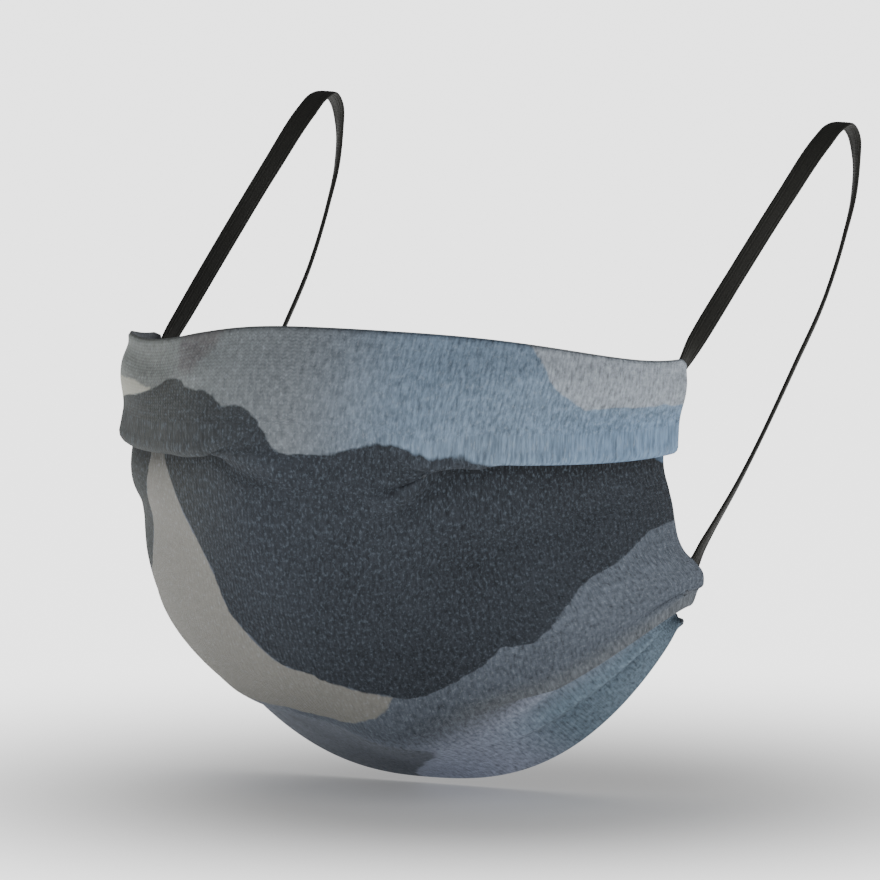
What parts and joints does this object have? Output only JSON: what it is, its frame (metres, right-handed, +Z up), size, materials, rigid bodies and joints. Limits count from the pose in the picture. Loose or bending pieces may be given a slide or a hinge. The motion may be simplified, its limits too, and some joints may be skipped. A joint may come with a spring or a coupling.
{
  "type": "cloth face mask",
  "caption": "Pleated cloth face mask in grey camouflage knit with flat elastic ear loops, covering nose, mouth and chin, in its worn form.",
  "frame": {"origin": "on the bridge of the nose: the point of the inner face in the middle of the mask, 5 mm below its upper edge", "axes": "+Z up, +Y backwards from the nose towards the ears, +X towards the wearer's left ear"},
  "size_m": [0.1398, 0.1631, 0.1488],
  "materials": {
    "mask_cloth": "heathered knit with a grey camouflage print",
    "black_elastic": "flat ribbed elastic, matt"
  },
  "bodies": {
    "root": {"mask_cloth": "mask_cloth", "ear_loop_left": "black_elastic", "ear_loop_right": "black_elastic"}
  },
  "joints": []
}
